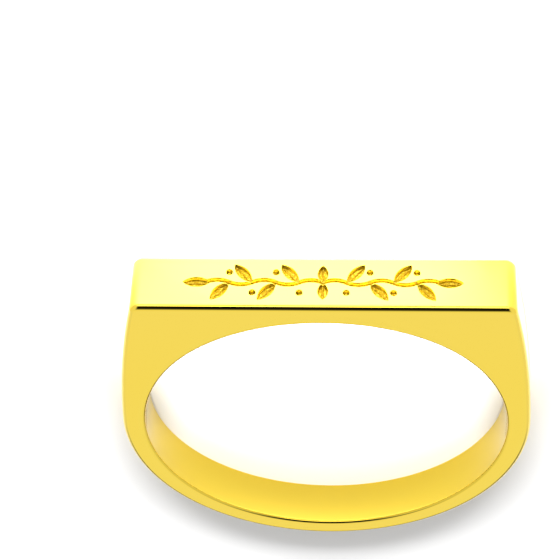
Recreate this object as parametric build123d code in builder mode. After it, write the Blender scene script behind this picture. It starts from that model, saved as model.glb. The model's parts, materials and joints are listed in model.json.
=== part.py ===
"""Flat-top bar ring of polished yellow metal, in one piece, lying on its side.

The round shank widens at its shoulders into a long flat bar. The bar carries an engraved sprig
of leaves and berries. Millimetres, +Z up. The origin is on the surface that the ring lies on,
under the centre of the finger bore. The bar's face looks along -Y, and the bar runs along X.
"""
import os
from math import asin, atan2, cos, degrees, hypot, isclose, radians, sin

from build123d import *

# Finger bore and shank
bore_diameter = 16.5
shank_wall = 1.05
shank_width = 2.2

# Bar: length and width at its face, and metal between the bore and the face
bar_length = 16.3
bar_width = 2.8
bar_thickness = 1.25

# Heights above the bore's centre, towards the bar
flare_start = 3.5
shoulder_start = 0.4

# Rounded edges
outer_round = 0.3
face_round = 0.26
bore_round = 0.13

# Engraved sprig: depth, then the stem, leaves, berries and the blossom in the middle
engraving_depth = 0.2
stem_width = 0.24
stem_wave = 0.12
leaf_count = 4
leaf_pitch = 1.0
leaf_length = 1.25
leaf_width = 0.54
leaf_angle = 50
berry_radius = 0.17
berry_offset = 0.54
petal_length = 0.92
petal_width = 0.5

bore_radius = bore_diameter / 2
shank_radius = bore_radius + shank_wall
face_height = bore_radius + bar_thickness
reach = 2 * max(shank_radius, face_height)
half_width = max(bar_width, shank_width) / 2

# The ring rests on two rounded edges, at the bottom of its shank and at its bar. Each is a
# circle in the side view, given as its height and its distance from the middle plane.
flare_slope = 2 * atan2((bar_width - shank_width) / 2, face_height - flare_start)
shank_edge = (-(shank_radius - outer_round), shank_width / 2 - outer_round)
bar_edge = (
    face_height - face_round,
    bar_width / 2 - face_round * (1 + sin(flare_slope)) / cos(flare_slope),
)
rest_run = bar_edge[0] - shank_edge[0]
rest_rise = bar_edge[1] - shank_edge[1]
round_step = asin((face_round - outer_round) / hypot(rest_run, rest_rise))
lean = max(0.0, atan2(rest_rise, rest_run) + round_step)
mid_height = shank_edge[1] * cos(lean) - shank_edge[0] * sin(lean) + outer_round

# Planes: the ring's own front view, its side view and the bar's face
front = Plane(origin=(0, 0, mid_height), x_dir=(-1, 0, 0), z_dir=(0, sin(lean), cos(lean)))
side = Plane(origin=front.origin, x_dir=front.y_dir, z_dir=front.x_dir)
face = Plane(
    origin=front.origin + front.y_dir * face_height, x_dir=front.x_dir, z_dir=front.y_dir
)


def leaf(base, angle, length, width):
    """Draw one lens-shaped leaf into the open sketch, from its base along its angle."""
    turn = radians(angle)
    tip = (base[0] + length * cos(turn), base[1] + length * sin(turn))
    with BuildLine() as rim:
        SagittaArc(base, tip, width / 2)
        SagittaArc(tip, base, width / 2)
    make_face(rim.line.edges())


def stem(side_sign):
    """Draw one half of the wavy stem into the open sketch, from the blossom outwards."""
    with BuildLine() as wave:
        for i in range(leaf_count + 1):
            start = side_sign * i * leaf_pitch
            end = side_sign * (i + 1) * leaf_pitch
            swing = side_sign * stem_wave * (1 if i % 2 == 0 else -1)
            SagittaArc((start, 0), (end, 0), swing)
    trace(wave.line.edges(), line_width=stem_width)


with BuildPart() as ring:
    # Front view: round shank, shoulders that run tangent out of it, flat face
    with BuildSketch(front):
        with BuildLine():
            shoulder_turn = degrees(asin(shoulder_start / shank_radius))
            shank_arc = CenterArc((0, 0), shank_radius, -90, 90 + shoulder_turn)
            shoulder = TangentArc(
                shank_arc @ 1, (bar_length / 2, face_height), tangent=shank_arc % 1
            )
            Line(shoulder @ 1, (0, face_height))
            mirror(about=Plane.YZ)
        make_face()
    extrude(amount=half_width, both=True)

    # Side view: straight shank, then a gentle flare out to the bar's width
    with BuildSketch(side):
        with BuildLine():
            tail = Line((-reach, 0), (-reach, shank_width / 2))
            flank = Line(tail @ 1, (flare_start, shank_width / 2))
            flare = TangentArc(flank @ 1, (face_height, bar_width / 2), tangent=(1, 0))
            Line(flare @ 1, (face_height, 0))
            mirror(about=Plane.XZ)
        make_face()
    extrude(amount=reach, both=True, mode=Mode.INTERSECT)

    # Rounded outer edges, then the edge all round the bar's face
    fillet(ring.edges().filter_by(GeomType.LINE, reverse=True), outer_round)
    bar_face = ring.faces().sort_by(Axis(front.origin, front.y_dir))[-1]
    fillet(bar_face.edges(), face_round)

    # Finger bore with softened edges
    with BuildSketch(front):
        Circle(bore_radius)
    extrude(amount=2 * half_width, both=True, mode=Mode.SUBTRACT)
    round_walls = ring.faces().filter_by(GeomType.CYLINDER)
    bore_walls = round_walls.filter_by(lambda wall: isclose(wall.radius, bore_radius))
    fillet(bore_walls.edges().filter_by(GeomType.LINE, reverse=True), bore_round)

    # Engraved sprig, the same to both sides of its blossom
    with BuildSketch(face):
        for sign in (-1, 1):
            stem(sign)
            for i in range(leaf_count):
                node = (sign * (i + 1) * leaf_pitch, 0)
                up = 1 if i % 2 == 0 else -1
                lean_out = up * leaf_angle if sign > 0 else 180 - up * leaf_angle
                leaf(node, lean_out, leaf_length, leaf_width)
                with Locations((node[0], -up * berry_offset)):
                    Circle(berry_radius)
            stem_end = sign * ((leaf_count + 1) * leaf_pitch - stem_width)
            leaf((stem_end, 0), 90 - 90 * sign, leaf_length, leaf_width)
            leaf((0, 0), 90 * sign, petal_length, petal_width)
    extrude(amount=-engraving_depth, mode=Mode.SUBTRACT)

ring.part.label = "ring"
os.makedirs("parts", exist_ok=True)
export_step(ring.part, "parts/ring.step")
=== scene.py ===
"""Flat-top bar ring of polished yellow gold, lying on its side on a pale floor.

The ring's body is one closed mesh, laid out as cross-sections round the finger bore. A Geometry
Nodes tree engraves a sprig of leaves and berries into the bar's face. Sizes in the classes are
millimetres and angles are degrees, unless a class says otherwise. Blender gets metres.
"""
import json
import logging
import math
from collections import Counter
from dataclasses import dataclass
from enum import Enum
from typing import Any, ClassVar, Iterable, Sequence

import bmesh
import bpy
import numpy as np
from mathutils import Matrix, Vector

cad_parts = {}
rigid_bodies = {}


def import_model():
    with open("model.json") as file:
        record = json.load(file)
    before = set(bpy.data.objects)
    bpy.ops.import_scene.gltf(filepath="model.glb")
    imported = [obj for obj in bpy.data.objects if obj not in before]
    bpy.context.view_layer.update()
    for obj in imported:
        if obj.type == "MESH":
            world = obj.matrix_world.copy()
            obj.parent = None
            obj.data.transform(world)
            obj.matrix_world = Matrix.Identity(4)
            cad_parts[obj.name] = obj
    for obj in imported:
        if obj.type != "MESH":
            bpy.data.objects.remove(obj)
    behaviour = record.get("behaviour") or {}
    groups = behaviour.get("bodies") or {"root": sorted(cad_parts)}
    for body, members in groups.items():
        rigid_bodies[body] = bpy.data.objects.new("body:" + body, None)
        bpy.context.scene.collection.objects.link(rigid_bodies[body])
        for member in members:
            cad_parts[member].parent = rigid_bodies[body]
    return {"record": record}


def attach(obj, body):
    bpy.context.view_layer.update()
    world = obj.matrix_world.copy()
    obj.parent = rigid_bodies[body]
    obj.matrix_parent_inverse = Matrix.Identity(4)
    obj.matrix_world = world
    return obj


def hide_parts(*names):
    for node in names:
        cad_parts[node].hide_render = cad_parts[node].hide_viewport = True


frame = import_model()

MM = 0.001
RING_NODE = "ring"
BORE_MOUNT = "finger_bore"
ENGRAVED = "engraved"
# The attribute that marks the bore wall, where the material paints a darker gold as shade.
PAINTED_BORE_SHADE = "inner"
NOISE_MIDDLE = 0.5

log = logging.getLogger("bar_ring")


class Value:
    """A number socket in a node tree. Python's operators on it add Math nodes."""

    def __init__(self, tree: "Tree", socket: bpy.types.NodeSocket) -> None:
        """Wrap one output socket of a tree."""
        self.tree = tree
        self.socket = socket

    def __add__(self, other: "Value | float") -> "Value":
        """Return self + other."""
        return self.tree.math("ADD", self, other)

    def __radd__(self, other: "Value | float") -> "Value":
        """Return other + self."""
        return self.tree.math("ADD", other, self)

    def __sub__(self, other: "Value | float") -> "Value":
        """Return self - other."""
        return self.tree.math("SUBTRACT", self, other)

    def __rsub__(self, other: "Value | float") -> "Value":
        """Return other - self."""
        return self.tree.math("SUBTRACT", other, self)

    def __mul__(self, other: "Value | float") -> "Value":
        """Return self * other."""
        return self.tree.math("MULTIPLY", self, other)

    def __rmul__(self, other: "Value | float") -> "Value":
        """Return other * self."""
        return self.tree.math("MULTIPLY", other, self)

    def __truediv__(self, other: "Value | float") -> "Value":
        """Return self / other."""
        return self.tree.math("DIVIDE", self, other)

    def __rtruediv__(self, other: "Value | float") -> "Value":
        """Return other / self."""
        return self.tree.math("DIVIDE", other, self)

    def __abs__(self) -> "Value":
        """Return the absolute value."""
        return self.tree.math("ABSOLUTE", self)

    def least(self, other: "Value | float") -> "Value":
        """Return the smaller of self and other."""
        return self.tree.math("MINIMUM", self, other)

    def most(self, other: "Value | float") -> "Value":
        """Return the larger of self and other."""
        return self.tree.math("MAXIMUM", self, other)

    def floor(self) -> "Value":
        """Return the next whole number below."""
        return self.tree.math("FLOOR", self)

    def nearest(self) -> "Value":
        """Return the nearest whole number."""
        return self.tree.math("ROUND", self)

    def length_with(self, other: "Value") -> "Value":
        """Return the length of the vector (self, other)."""
        return self.tree.math("SQRT", self * self + other * other)


class Tree:
    """A node tree that is written as expressions."""

    def __init__(self, nodes: bpy.types.NodeTree) -> None:
        """Start on an empty tree."""
        self.tree = nodes
        self.tree.nodes.clear()

    def node(
        self, kind: str, settings: dict[str, Any] | None = None, **sockets: Any
    ) -> bpy.types.Node:
        """Add one node.

        Args:
            kind: The node's type name.
            settings: Properties of the node, set before its sockets.
            sockets: Values or links by socket name, with _ for a space, or by number as s0, s1.
                One that is None is left as it is.

        Returns:
            The new node.
        """
        made = self.tree.nodes.new(kind)
        for name, setting in (settings or {}).items():
            setattr(made, name, setting)
        for name, given in sockets.items():
            if given is None:
                continue
            socket = self._input(made, name)
            if isinstance(given, Value):
                given = given.socket
            if isinstance(given, bpy.types.NodeSocket):
                self.tree.links.new(given, socket)
            else:
                socket.default_value = given
        return made

    @staticmethod
    def _input(node: bpy.types.Node, name: str) -> bpy.types.NodeSocket:
        """Find one input of a node.

        Args:
            node: The node to look in.
            name: The input's name with _ for a space, or its number as s0, s1.

        Returns:
            The input socket.
        """
        if name[0] == "s" and name[1:].isdigit():
            return node.inputs[int(name[1:])]
        wanted = name.replace("_", " ")
        return next(s for s in node.inputs if s.name == wanted and s.enabled)

    def value(self, node: bpy.types.Node, output: str | int = 0) -> Value:
        """Return one output of a node as a Value."""
        return Value(self, node.outputs[output])

    def math(self, operation: str, *operands: "Value | float") -> Value:
        """Add one Math node and return its result."""
        sockets = {f"s{i}": operand for i, operand in enumerate(operands)}
        return self.value(self.node("ShaderNodeMath", {"operation": operation}, **sockets))

    def vector(self, operation: str, first: Any, second: Any = None, scale: Any = None) -> Any:
        """Add one Vector Math node and return its vector."""
        settings = {"operation": operation}
        return self.node("ShaderNodeVectorMath", settings, s0=first, s1=second, Scale=scale).outputs[0]

    def dot(self, first: Any, second: Any) -> Value:
        """Return the dot product of two vectors."""
        settings = {"operation": "DOT_PRODUCT"}
        return self.value(self.node("ShaderNodeVectorMath", settings, s0=first, s1=second), "Value")

    def smooth(self, value: Value, low: float | Value, high: float | Value) -> Value:
        """Add a smooth step of a value.

        Args:
            value: The value that is stepped.
            low: Where the step starts, at 0.
            high: Where the step ends, at 1.

        Returns:
            The step's height, from 0 to 1.
        """
        settings = {"interpolation_type": "SMOOTHSTEP"}
        made = self.node("ShaderNodeMapRange", settings, Value=value, From_Min=low, From_Max=high)
        return self.value(made)

    def noise(self, place: Any, scale: float, detail: float = 2.0) -> Value:
        """Return noise from 0 to 1 at a place."""
        return self.value(self.node("ShaderNodeTexNoise", Vector=place, Scale=scale, Detail=detail))

    def mix(self, factor: Value, first: Any, second: Any) -> Any:
        """Return a colour between two colours."""
        made = self.node("ShaderNodeMix", {"data_type": "RGBA"}, Factor=factor, A=first, B=second)
        return next(s for s in made.outputs if s.enabled)


@dataclass(frozen=True)
class PolishedGold:
    """Mirror-polished yellow gold, with a matt, grainy and darker tone inside the engraving that is
    painted shade of its depth, and a darker gold on the bore wall that is painted shade.

    Scales are per metre and heights are metres, as Object coordinates are.
    """

    name: str = "polished_gold"
    face: tuple[float, float, float] = (1.0, 0.745, 0.09)
    # A darker, browner gold in the engraving: painted shade of the grooves' depth, varied at random by
    # the grain.
    groove: tuple[float, float, float] = (0.27, 0.165, 0.005)
    # A darker gold on the bore wall: painted shade.
    bore: tuple[float, float, float] = (0.8, 0.59, 0.065)
    groove_cover: float = 0.97
    groove_contrast: float = 2.0
    roughness: float = 0.035
    smear: float = 0.02
    groove_roughness: float = 0.45
    groove_smear: float = 0.2
    smear_scale: float = 350.0
    hairline_scale: float = 9000.0
    hairline_stretch: tuple[float, float, float] = (0.15, 1.0, 1.0)
    grain_scale: float = 14000.0
    fine_detail: float = 3.0
    hairline_height: float = 1.2e-7
    grain_height: float = 1.2e-5

    def make(self) -> bpy.types.Material:
        """Write the material's nodes.

        Returns:
            The material.
        """
        material = bpy.data.materials.new(self.name)
        material.use_nodes = True
        tree = Tree(material.node_tree)
        place = tree.node("ShaderNodeTexCoord").outputs["Object"]
        cut = tree.value(tree.node("ShaderNodeAttribute", {"attribute_name": ENGRAVED}), "Fac")
        inner = tree.value(tree.node("ShaderNodeAttribute", {"attribute_name": PAINTED_BORE_SHADE}), "Fac")
        smears = tree.noise(place, self.smear_scale, self.fine_detail)
        stretched = tree.vector("MULTIPLY", place, self.hairline_stretch)
        hairlines = tree.noise(stretched, self.hairline_scale)
        grain = tree.noise(place, self.grain_scale, self.fine_detail)
        roughness = self.roughness + (smears - NOISE_MIDDLE) * self.smear
        groove_roughness = self.groove_roughness + (grain - NOISE_MIDDLE) * self.groove_smear
        cover = self.groove_cover + self.groove_contrast * (grain - NOISE_MIDDLE)
        # The bore wall gets the darker bore gold, which is painted shade.
        plain = tree.mix(inner, (*self.face, 1.0), (*self.bore, 1.0))
        # The engraving gets the darker groove gold, which is painted shade, with the grain's random
        # tone on top.
        colour = tree.mix(cut * cover, plain, (*self.groove, 1.0))
        height = hairlines * self.hairline_height + cut * grain * self.grain_height
        bump = tree.node("ShaderNodeBump", Height=height, Distance=1.0, Strength=1.0)
        shader = tree.node(
            "ShaderNodeBsdfPrincipled",
            Base_Color=colour,
            Roughness=roughness + cut * groove_roughness,
            Metallic=1.0,
            Normal=bump.outputs[0],
        )
        tree.node("ShaderNodeOutputMaterial", Surface=shader.outputs[0])
        return material


@dataclass(frozen=True)
class PaleFloor:
    """The floor's plain white."""

    name: str = "pale_floor"
    colour: tuple[float, float, float] = (0.9, 0.9, 0.9)
    roughness: float = 0.9

    def make(self) -> bpy.types.Material:
        """Write the material's nodes.

        Returns:
            The material.
        """
        material = bpy.data.materials.new(self.name)
        material.use_nodes = True
        tree = Tree(material.node_tree)
        tone = (*self.colour, 1.0)
        shader = tree.node("ShaderNodeBsdfPrincipled", Base_Color=tone, Roughness=self.roughness)
        tree.node("ShaderNodeOutputMaterial", Surface=shader.outputs[0])
        return material


@dataclass(frozen=True)
class RingPlane:
    """The ring's own frame: x along the bar, y towards the bar, z along the finger bore."""

    centre: Vector
    axis: Vector

    @classmethod
    def from_frame(cls) -> "RingPlane":
        """Read the bore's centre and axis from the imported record's mount.

        Returns:
            The ring's frame, with its centre in metres.
        """
        mounts = {mount["name"]: mount for mount in frame["record"]["mounts"]}
        bore = mounts[BORE_MOUNT]
        return cls(Vector(bore["pos_m"]), Vector(bore["axis"]).normalized())

    @property
    def x(self) -> Vector:
        """The direction along the bar."""
        return Vector((-1.0, 0.0, 0.0))

    @property
    def y(self) -> Vector:
        """The direction from the bore's centre to the bar."""
        return self.axis.cross(self.x)

    def direction(self, local: Sequence[float]) -> Vector:
        """Turn a direction from the ring's frame into the scene's."""
        return self.x * local[0] + self.y * local[1] + self.axis * local[2]

    def points(self, local: np.ndarray) -> np.ndarray:
        """Turn points in millimetres in the ring's frame into metres in the scene's."""
        turn = np.array([self.x, self.y, self.axis])
        return local @ turn * MM + np.array(self.centre)


class Stretch(Enum):
    """The stretches of the ring's outline."""

    SHANK = "shank"
    SHOULDER = "shoulder"
    CORNER = "corner"
    FACE = "face"


@dataclass(frozen=True)
class Station:
    """A place on the ring's outline, with its outward direction and the rounding of its edges."""

    stretch: Stretch
    point: Vector
    normal: Vector
    rounding: float


@dataclass(frozen=True)
class RingBody:
    """The ring's solid form, as cross-sections round the bore.

    The window is half the length and half the width of the face's grid, which has the spacing and
    is divided again in fine steps. The support is how near an edge loop lies to each rounding. The
    round change is the power by which the shank's rounding turns into the bar's at a shoulder.
    """

    plane: RingPlane
    bore_radius: float = 8.25
    shank_radius: float = 9.3
    face_height: float = 9.5
    bar_length: float = 16.3
    shank_half: float = 1.1
    bar_half: float = 1.4
    flare_start: float = 3.5
    shoulder_start: float = 0.4
    outer_round: float = 0.3
    face_round: float = 0.26
    corner_round: float = 0.48
    bore_round: float = 0.13
    round_change: int = 4
    window: tuple[float, float] = (6.1, 1.0)
    spacing: float = 0.1
    fine_steps: int = 5
    support: float = 0.02
    shank_steps: int = 62
    shoulder_steps: int = 24
    corner_steps: int = 10
    end_steps: int = 5
    round_steps: int = 10
    side_steps: int = 5
    bore_round_steps: int = 6
    wall_steps: int = 3

    def half_width(self, height: np.ndarray) -> np.ndarray:
        """Work out half the ring's width: straight at the shank, then a gentle flare.

        Args:
            height: Heights above the bore's centre, towards the bar.

        Returns:
            Half the width at each height.
        """
        rise, swell = self.face_height - self.flare_start, self.bar_half - self.shank_half
        radius = (rise**2 + swell**2) / (2 * swell)
        above = np.maximum(height - self.flare_start, 0.0)
        return self.shank_half + radius - np.sqrt(radius**2 - above**2)

    def shoulder_circle(self) -> tuple[Vector, float, Vector]:
        """Find the arc that runs tangent out of the shank to the end of the bar's face.

        Returns:
            The arc's centre, its radius and the point where it starts.
        """
        turn = math.asin(self.shoulder_start / self.shank_radius)
        outward = Vector((math.cos(turn), math.sin(turn)))
        start = outward * self.shank_radius
        chord = Vector((self.bar_length / 2, self.face_height)) - start
        radius = chord.length_squared / (-2 * outward.dot(chord))
        return start - outward * radius, radius, start

    def stations(self) -> list[Station]:
        """Place the cross-sections along the right half of the outline, then mirror them.

        Returns:
            The stations in order, once round the ring from the middle of the shank.
        """
        centre, radius, start = self.shoulder_circle()
        level = self.face_height - self.corner_round
        run = math.sqrt((radius - self.corner_round) ** 2 - (level - centre.y) ** 2)
        pivot = Vector((centre.x + run, level))
        top = math.atan2(pivot.y - centre.y, pivot.x - centre.x)
        bottom = math.atan2(start.y - centre.y, start.x - centre.x)
        half: list[Station] = []

        def add(stretch: Stretch, middle: Vector, size: float, turn: float, rounding: float) -> None:
            """Add the station that an arc has at a turn."""
            outward = Vector((math.cos(turn), math.sin(turn)))
            half.append(Station(stretch, middle + outward * size, outward, rounding))

        origin = Vector((0.0, 0.0))
        for turn in np.linspace(-math.pi / 2, bottom, self.shank_steps, endpoint=False):
            add(Stretch.SHANK, origin, self.shank_radius, turn, self.outer_round)
        near = 2 * self.support
        for turn in np.linspace(bottom, top - near / radius, self.shoulder_steps):
            share = ((turn - bottom) / (top - bottom)) ** self.round_change
            rounding = self.outer_round + (self.face_round - self.outer_round) * share
            add(Stretch.SHOULDER, centre, radius, turn, rounding)
        for turn in np.linspace(top, math.pi / 2, self.corner_steps + 1):
            add(Stretch.CORNER, pivot, self.corner_round, turn, self.face_round)
        reach = self.window[0]
        upward = Vector((0.0, 1.0))
        end = np.linspace(pivot.x - near, reach, self.end_steps, endpoint=False)
        inner = np.arange(round(reach / self.spacing), -1, -1) * self.spacing
        for place in (*end, *inner):
            point = Vector((place, self.face_height))
            half.append(Station(Stretch.FACE, point, upward, self.face_round))
        flip = Vector((-1.0, 1.0))
        mirrored = [
            Station(one.stretch, one.point * flip, one.normal * flip, one.rounding)
            for one in reversed(half[1:-1])
        ]
        return half + mirrored

    def section(self, stations: Sequence[Station]) -> np.ndarray:
        """Lay the half section of every station, from the outer middle to the bore's middle.

        Args:
            stations: The places round the outline.

        Returns:
            Points in the ring's frame, by station and row, with heights of zero or more.
        """
        points = np.array([one.point for one in stations])
        normals = np.array([one.normal for one in stations])
        rounds = np.array([one.rounding for one in stations])
        angles = np.arctan2(points[:, 1], points[:, 0])
        spokes = np.stack([np.cos(angles), np.sin(angles)], -1)
        rows: list[np.ndarray] = []

        def add(flat: np.ndarray, below: np.ndarray | float, share: float = 1.0) -> None:
            """Add one row: its places in the plane, and how far it lies under the side face."""
            tall = (self.half_width(flat[:, 1]) - below) * share
            rows.append(np.concatenate([flat, tall[:, None]], 1))

        full = self.bar_half - self.face_round
        shares = np.arange(round(self.window[1] / self.spacing) + 1) * self.spacing / full
        for share in (*shares, 1 - self.support / full, 1.0):
            add(points, rounds, share)
        for turn in np.linspace(0, math.pi / 2, self.round_steps + 1)[1:]:
            inset = rounds * (1 - math.cos(turn))
            add(points - normals * inset[:, None], rounds * (1 - math.sin(turn)))
        outer = points - normals * (rounds + self.support)[:, None]
        inner = spokes * (self.bore_radius + self.bore_round + self.support)
        for share in np.linspace(0, 1, self.side_steps + 1):
            add(outer + (inner - outer) * share, 0.0)
        for turn in np.linspace(0, math.pi / 2, self.bore_round_steps + 1):
            reach = self.bore_radius + self.bore_round * (1 - math.sin(turn))
            add(spokes * reach, self.bore_round * (1 - math.cos(turn)))
        wall = spokes * self.bore_radius
        add(wall, self.bore_round + self.support)
        for share in np.linspace(1, 0, self.wall_steps + 1)[1:]:
            add(wall, self.bore_round, share)
        return np.stack(rows, 1)

    def mesh(self, stations: Sequence[Station]) -> bpy.types.Mesh:
        """Make the closed mesh, with a fine grid where the engraving goes.

        Args:
            stations: The places round the outline.

        Returns:
            The mesh, in metres in the scene's frame.
        """
        half = self.section(stations)
        below = half[:, -2:0:-1] * np.array([1.0, 1.0, -1.0])
        local = np.concatenate([half, below], 1)
        count, rows = local.shape[:2]
        number = np.arange(count * rows).reshape(count, rows)
        ahead = np.roll(number, -1, 0)
        quads = np.stack([number, ahead, np.roll(ahead, -1, 1), np.roll(number, -1, 1)], -1)
        places = self.plane.points(local.reshape(-1, 3))
        mesh = bpy.data.meshes.new("bar_ring")
        mesh.from_pydata(places.tolist(), [], quads.reshape(-1, 4).tolist())
        self._refine(mesh, number, local)
        return mesh

    def _refine(self, mesh: bpy.types.Mesh, number: np.ndarray, local: np.ndarray) -> None:
        """Divide the quads of the bar's face that hold the engraving.

        Args:
            mesh: The closed mesh, which is changed.
            number: The numbers of its vertices, by station and row.
            local: The places of its vertices in the ring's frame, by station and row.
        """
        reach, span = self.window
        inside = np.abs(local[..., 0]) < reach + self.support
        inside &= local[..., 1] > self.face_height - self.support
        inside &= np.abs(local[..., 2]) < span + self.support
        wanted = set(number[inside].tolist())
        work = bmesh.new()
        work.from_mesh(mesh)
        edges = [e for e in work.edges if e.verts[0].index in wanted and e.verts[1].index in wanted]
        bmesh.ops.subdivide_edges(work, edges=edges, cuts=self.fine_steps - 1, use_grid_fill=True)
        bmesh.ops.recalc_face_normals(work, faces=work.faces)
        work.to_mesh(mesh)
        work.free()


@dataclass(frozen=True)
class SprigEngraving:
    """The engraved sprig, cut by a Geometry Nodes tree that moves the fine grid inwards.

    The tree measures each point of the face along the bar, with both halves folded together, and
    across it. A shape of the sprig is how far a point lies inside its outline. The fades are where
    a mark starts and is full: the veins' in shares of the walls' run, the bore's in shares of its
    rounding, and the face's in millimetres from its plane. The bore mark tells the material where
    to paint the bore wall's darker gold, which is painted shade.
    """

    plane: RingPlane
    face_height: float
    bore_radius: float
    bore_round: float
    depth: float = 0.17
    wall_run: float = 0.1
    stem_width: float = 0.24
    stem_wave: float = 0.12
    leaf_count: int = 4
    leaf_pitch: float = 1.0
    leaf_length: float = 1.25
    leaf_width: float = 0.54
    leaf_angle: float = 50.0
    vein_width: float = 0.045
    vein_height: float = 0.05
    berry_radius: float = 0.17
    berry_offset: float = 0.54
    petal_length: float = 0.92
    petal_width: float = 0.5
    grain: float = 0.022
    grain_scale: float = 12.0
    grain_seed: float = 3.0
    grain_detail: float = 1.0
    vein_fade: tuple[float, float] = (0.7, 1.2)
    bore_fade: tuple[float, float] = (0.3, 0.9)
    face_fade: tuple[float, float] = (-0.001, -0.0005)

    SIZES: ClassVar[tuple[str, ...]] = (
        "depth", "wall_run", "stem_width", "stem_wave", "leaf_count", "leaf_pitch", "leaf_length",
        "leaf_width", "leaf_angle", "vein_width", "vein_height", "berry_radius", "berry_offset",
        "petal_length", "petal_width", "grain", "grain_scale", "grain_seed", "face_height",
        "bore_radius", "bore_round",
    )

    def group(self) -> bpy.types.GeometryNodeTree:
        """Make the empty tree with its interface.

        Returns:
            The tree, with named inputs for the sizes, the ring's frame and the finish.
        """
        made = bpy.data.node_groups.new("engrave_sprig", "GeometryNodeTree")
        interface = made.interface
        interface.new_socket("Geometry", in_out="INPUT", socket_type="NodeSocketGeometry")
        for name in self.SIZES:
            interface.new_socket(name, in_out="INPUT", socket_type="NodeSocketFloat")
        for name in ("bore_centre", "bar_side", "bore_axis"):
            interface.new_socket(name, in_out="INPUT", socket_type="NodeSocketVector")
        interface.new_socket("finish", in_out="INPUT", socket_type="NodeSocketMaterial")
        interface.new_socket("Geometry", in_out="OUTPUT", socket_type="NodeSocketGeometry")
        return made

    @staticmethod
    def side_of(node: Value) -> Value:
        """Return 1 for the first, third and fifth node of the stem, and -1 for the others."""
        return 4.0 * abs(node / 2 - (node / 2).nearest()) - 1.0

    @staticmethod
    def lens(along: Value, across: Value, length: Value, width: Value) -> Value:
        """Return how far a point lies inside a leaf-shaped outline that starts at the origin."""
        radius = (length * length / 4 + width * width / 4) / width
        return radius - (along - length / 2).length_with(abs(across) + radius - width / 2)

    def stem(self, size: dict[str, Value], along: Value, across: Value) -> Value:
        """Shape the wavy stem, which is one arc from node to node.

        Args:
            size: The tree's inputs by name.
            along: The point's distance from the bar's middle.
            across: The point's place across the bar.

        Returns:
            How far the point lies inside the stem.
        """
        pitch, wave = size["leaf_pitch"], size["stem_wave"]
        cell = (along / pitch).floor()
        start = (along / pitch - cell - 0.5) * pitch
        bend = (pitch * pitch / 4 + wave * wave) / (2.0 * wave)
        lift = across * self.side_of(cell) * -1.0
        off_stem = start.length_with(lift + bend - wave) - bend
        inside = size["stem_width"] / 2 - abs(off_stem)
        return inside.least((size["leaf_count"] + 1) * pitch - along)

    def leaves(self, size: dict[str, Value], along: Value, across: Value) -> tuple[Value, Value]:
        """Shape the leaves, the leaf at the stem's end and the blossom in the middle.

        Args:
            size: The tree's inputs by name.
            along: The point's distance from the bar's middle.
            across: The point's place across the bar.

        Returns:
            How far the point lies inside them, and the share of a vein's height that it has.
        """
        tree = along.tree
        pitch, count = size["leaf_pitch"], size["leaf_count"]
        node = (along / pitch).floor().most(1.0).least(count)
        turn = size["leaf_angle"] * math.radians(1.0)
        cosine, sine = tree.math("COSINE", turn), tree.math("SINE", turn)
        out, up = along - node * pitch, across * self.side_of(node)
        leaf_along, leaf_across = out * cosine + up * sine, up * cosine - out * sine
        leaf = self.lens(leaf_along, leaf_across, size["leaf_length"], size["leaf_width"])
        tip_along = along - (count + 1) * pitch + size["stem_width"]
        tip = self.lens(tip_along, across, size["leaf_length"], size["leaf_width"])
        petal = self.lens(abs(across), along, size["petal_length"], size["petal_width"])

        def vein(shape: Value, from_middle: Value) -> Value:
            """Shape the vein along a leaf's middle, which fades out at the leaf's walls.

            Args:
                shape: How far the point lies inside the leaf.
                from_middle: The point's distance from the leaf's middle line.

            Returns:
                The share of a vein's height that the point has.
            """
            ridge = 1 - tree.smooth(abs(from_middle), 0.0, size["vein_width"])
            low, high = (size["wall_run"] * share for share in self.vein_fade)
            return ridge * tree.smooth(shape, low, high)

        ridge = vein(leaf, leaf_across).most(vein(tip, across)).most(vein(petal, along))
        return leaf.most(tip).most(petal), ridge

    def berries(self, size: dict[str, Value], along: Value, across: Value) -> Value:
        """Shape the berries, one opposite each leaf.

        Args:
            size: The tree's inputs by name.
            along: The point's distance from the bar's middle.
            across: The point's place across the bar.

        Returns:
            How far the point lies inside the nearest berry.
        """
        pitch = size["leaf_pitch"]
        node = (along / pitch).nearest().most(1.0).least(size["leaf_count"])
        up = across + self.side_of(node) * size["berry_offset"]
        return size["berry_radius"] - (along - node * pitch).length_with(up)

    def build(self) -> bpy.types.GeometryNodeTree:
        """Write the whole tree: measure the points, shape the sprig and move the grid.

        Returns:
            The finished tree.
        """
        made = self.group()
        tree = Tree(made)
        given = tree.node("NodeGroupInput")
        size = {name: tree.value(given, name) for name in self.SIZES}
        position = tree.node("GeometryNodeInputPosition").outputs[0]
        offset = tree.vector("SUBTRACT", position, given.outputs["bore_centre"])
        along = abs(tree.dot(offset, self.plane.x) / MM)
        across = 0.0 - tree.dot(offset, given.outputs["bore_axis"]) / MM
        above = tree.dot(offset, given.outputs["bar_side"]) / MM
        from_wall = along.length_with(above) - size["bore_radius"]
        # The bore mask marks where the material paints the bore wall's darker gold as shade.
        low, high = (size["bore_round"] * share for share in self.bore_fade)
        inner = 1 - tree.smooth(from_wall, low, high)

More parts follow.
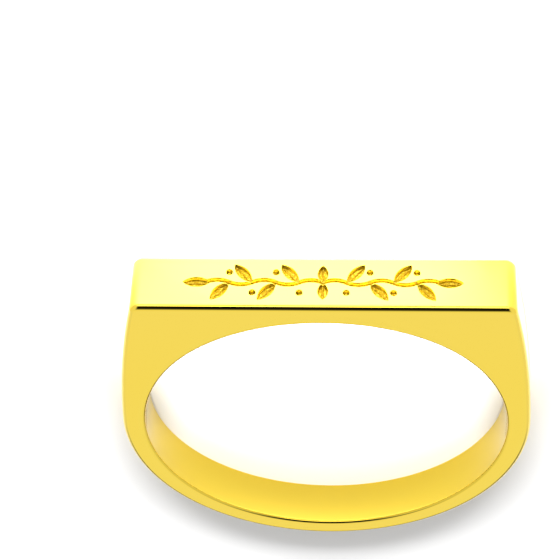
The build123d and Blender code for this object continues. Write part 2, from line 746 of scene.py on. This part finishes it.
        leaves, ridge = self.leaves(size, along, across)
        inside = self.stem(size, along, across).most(leaves).most(self.berries(size, along, across))
        cut = tree.smooth(inside, 0.0, size["wall_run"])
        on_face = tree.smooth(above - size["face_height"], *self.face_fade)
        rough = tree.node(
            "ShaderNodeTexNoise",
            {"noise_dimensions": "4D"},
            Vector=tree.vector("SCALE", position, scale=1 / MM),
            W=size["grain_seed"],
            Scale=size["grain_scale"],
            Detail=self.grain_detail,
        )
        grain = (tree.value(rough) - NOISE_MIDDLE) * size["grain"]
        sink = (cut * (size["depth"] + grain) - ridge * size["vein_height"]) * on_face * -MM
        shape = given.outputs["Geometry"]
        for name, mark in ((ENGRAVED, cut * on_face), (PAINTED_BORE_SHADE, inner)):
            shape = tree.node(
                "GeometryNodeStoreNamedAttribute",
                {"data_type": "FLOAT", "domain": "POINT"},
                Geometry=shape,
                Name=name,
                Value=mark,
            ).outputs[0]
        move = tree.vector("SCALE", given.outputs["bar_side"], scale=sink)
        placed = tree.node("GeometryNodeSetPosition", Geometry=shape, Offset=move)
        smooth = tree.node("GeometryNodeSetShadeSmooth", Geometry=placed.outputs[0])
        real = tree.node("GeometryNodeRealizeInstances", Geometry=smooth.outputs[0])
        finish = given.outputs["finish"]
        dressed = tree.node("GeometryNodeSetMaterial", Geometry=real.outputs[0], Material=finish)
        tree.node("NodeGroupOutput", Geometry=dressed.outputs[0])
        return made

    def engrave(self, body: bpy.types.Mesh, finish: bpy.types.Material) -> bpy.types.Object:
        """Run the tree on the ring's mesh.

        Args:
            body: The ring's closed mesh, with its fine grid.
            finish: The material that the ring gets.

        Returns:
            The finished object, with a plain mesh and no modifier.
        """
        piece = bpy.data.objects.new("bar_ring", body)
        bpy.context.scene.collection.objects.link(piece)
        body.materials.append(finish)
        modifier = piece.modifiers.new("engraving", "NODES")
        modifier.node_group = self.build()
        inputs: dict[str, Any] = {name: float(getattr(self, name)) for name in self.SIZES}
        inputs.update(bore_centre=self.plane.centre, bar_side=self.plane.y, bore_axis=self.plane.axis)
        inputs["finish"] = finish
        for item in modifier.node_group.interface.items_tree:
            if item.in_out == "INPUT" and item.name in inputs:
                modifier[item.identifier] = inputs[item.name]
        graph = bpy.context.evaluated_depsgraph_get()
        mesh = bpy.data.meshes.new_from_object(piece.evaluated_get(graph), depsgraph=graph)
        piece.modifiers.clear()
        piece.data = mesh
        return piece


@dataclass(frozen=True)
class Light:
    """A light that looks at a point and that polished metal does not mirror.

    Its power is in watts.
    """

    name: str
    place: tuple[float, float, float]
    aim: tuple[float, float, float]
    power: float

    def hang(self, light: bpy.types.Light) -> bpy.types.Object:
        """Put a light in its place, turned towards its aim.

        Args:
            light: The light's data.

        Returns:
            The light's object.
        """
        light.energy = self.power
        holder = bpy.data.objects.new(self.name, light)
        place, aim = Vector(self.place) * MM, Vector(self.aim) * MM
        holder.location = place
        holder.rotation_euler = (aim - place).to_track_quat("-Z", "Y").to_euler()
        holder.visible_glossy = False
        bpy.context.scene.collection.objects.link(holder)
        return holder


@dataclass(frozen=True)
class Softbox(Light):
    """A wide soft panel of light."""

    width: float
    height: float

    def build(self) -> bpy.types.Object:
        """Make the panel.

        Returns:
            The panel's object.
        """
        light = bpy.data.lights.new(self.name, "AREA")
        light.shape = "RECTANGLE"
        light.size, light.size_y = self.width * MM, self.height * MM
        return self.hang(light)


@dataclass(frozen=True)
class Spot(Light):
    """A spot lamp with a soft edge."""

    angle: float
    size: float
    blend: float

    def build(self) -> bpy.types.Object:
        """Make the lamp.

        Returns:
            The lamp's object.
        """
        light = bpy.data.lights.new(self.name, "SPOT")
        light.shadow_soft_size = self.size / 2 * MM
        light.spot_size = math.radians(self.angle)
        light.spot_blend = self.blend
        return self.hang(light)


@dataclass(frozen=True)
class Studio:
    """A plain pale floor and soft light.

    The sky has one level of light per band. Its turns, in degrees from the front horizon over the
    top, are where one band passes into the next. The side spread is in shares of the sky's radius.
    """

    floor_size: float = 600.0
    horizon: float = 0.12
    front: float = 3.7
    overhead: float = 0.01
    back: float = 0.92
    back_low: float = 0.12
    sides: float = 0.88
    front_turns: tuple[float, float] = (13.0, 18.0)
    overhead_turns: tuple[float, float] = (27.0, 32.0)
    back_turns: tuple[float, float] = (87.0, 134.0)
    low_turns: tuple[float, float] = (156.0, 168.0)
    side_spread: tuple[float, float] = (0.3, 0.6)
    lamps: tuple[Softbox | Spot, ...] = (
        Softbox("key", (0.0, -265.0, 104.0), (0.0, -5.5, 0.0), 1.6, 130.0, 36.0),
        Spot("front", (5.0, -110.0, 200.0), (1.2, -17.0, 0.0), 8.8, 6.2, 4.0, 0.6),
        Spot("top", (0.0, -40.0, 200.0), (0.0, -4.9, 0.0), 2.4, 6.0, 3.0, 0.5),
    )

    def build(self) -> bpy.types.Object:
        """Make the sky, the lamps and the floor.

        Returns:
            The floor.
        """
        self._sky()
        for lamp in self.lamps:
            lamp.build()
        half = self.floor_size / 2 * MM
        mesh = bpy.data.meshes.new("floor")
        outline = [(-half, -half, 0), (half, -half, 0), (half, half, 0), (-half, half, 0)]
        mesh.from_pydata(outline, [], [(0, 1, 2, 3)])
        mesh.materials.append(PaleFloor().make())
        floor = bpy.data.objects.new("floor", mesh)
        bpy.context.scene.collection.objects.link(floor)
        return floor

    def _sky(self) -> None:
        """Make the soft surroundings, in bands from the front horizon over the top to the back."""
        world = bpy.data.worlds.new("studio")
        bpy.context.scene.world = world
        world.use_nodes = True
        tree = Tree(world.node_tree)
        place = tree.node("ShaderNodeTexCoord").outputs["Generated"]
        parts = tree.node("ShaderNodeSeparateXYZ", s0=place)
        side, depth, up = (tree.value(parts, i) for i in range(3))
        turn = tree.math("ARCTAN2", up, 0.0 - depth) * math.degrees(1.0)
        bands = (
            (self.front_turns, self.front - self.horizon),
            (self.overhead_turns, self.overhead - self.front),
            (self.back_turns, self.back - self.overhead),
            (self.low_turns, self.back_low - self.back),
        )
        level: Value | float = self.horizon
        for turns, change in bands:
            level = level + tree.smooth(turn, *turns) * change
        beside = tree.smooth(abs(side), *self.side_spread)
        level = level * (1 - beside) + beside * self.sides
        sky = tree.node("ShaderNodeBackground", Color=(1.0, 1.0, 1.0, 1.0), Strength=level)
        tree.node("ShaderNodeOutputWorld", Surface=sky.outputs[0])


@dataclass(frozen=True)
class RingCamera:
    """The camera, placed round the bore's centre in the ring's own frame.

    The side and height angles place it, the aim angles turn it, and the roll is about its own
    axis. The focal length is in pixels of the square image, and the reach is in metres.
    """

    plane: RingPlane
    distance: float = 100.0
    height_angle: float = 55.79
    side_angle: float = 2.35
    aim_height_angle: float = 52.36
    aim_side_angle: float = 4.2
    roll: float = -3.02
    focal_pixels: float = 2171.6
    image_size: float = 560.0
    sensor: float = 36.0
    reach: float = 10.0

    @staticmethod
    def _towards(side: float, height: float) -> Vector:
        """Return the direction from the ring to the camera, in the ring's frame."""
        across, up = math.radians(side), math.radians(height)
        return Vector((math.sin(across) * math.cos(up), math.sin(up), math.cos(across) * math.cos(up)))

    def build(self) -> bpy.types.Object:
        """Make the camera and give it to the scene.

        Returns:
            The camera's object.
        """
        lens = bpy.data.cameras.new("camera")
        lens.sensor_width = self.sensor
        lens.lens = self.focal_pixels / self.image_size * self.sensor
        lens.clip_start, lens.clip_end = MM, self.reach
        back = self._towards(self.aim_side_angle, self.aim_height_angle)
        across = math.radians(self.aim_side_angle)
        right = Vector((math.cos(across), 0.0, -math.sin(across)))
        up = back.cross(right)
        roll = math.radians(self.roll)
        right, up = (
            math.cos(roll) * right + math.sin(roll) * up,
            math.cos(roll) * up - math.sin(roll) * right,
        )
        axes = [self.plane.direction(axis) for axis in (right, up, back)]
        out = self._towards(self.side_angle, self.height_angle) * self.distance * MM
        spot = self.plane.centre + self.plane.direction(out)
        turn = Matrix(axes).transposed().to_4x4()
        holder = bpy.data.objects.new("camera", lens)
        holder.matrix_world = Matrix.Translation(spot) @ turn
        bpy.context.scene.collection.objects.link(holder)
        bpy.context.scene.camera = holder
        return holder


def main() -> None:
    """Build the ring, the studio and the camera, and say what was made."""
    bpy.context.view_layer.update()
    plane = RingPlane.from_frame()
    body = RingBody(plane)
    stations = body.stations()
    mesh = body.mesh(stations)
    laid = Counter(one.stretch.value for one in stations)
    log.info("ring body: cross-sections %s, %d polygons", dict(laid), len(mesh.polygons))
    gold = PolishedGold().make()
    sprig = SprigEngraving(plane, body.face_height, body.bore_radius, body.bore_round)
    ring = sprig.engrave(mesh, gold)
    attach(ring, "root")
    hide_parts(RING_NODE)
    log.info("ring: engraved, %d polygons", len(ring.data.polygons))
    studio = Studio()
    studio.build()
    log.info("studio: floor, sky and %d lamps", len(studio.lamps))
    RingCamera(plane).build()
    log.info("camera: placed")
    bpy.context.scene.view_settings.view_transform = "Standard"


if __name__ == "__main__":
    logging.basicConfig(level=logging.INFO)
    main()
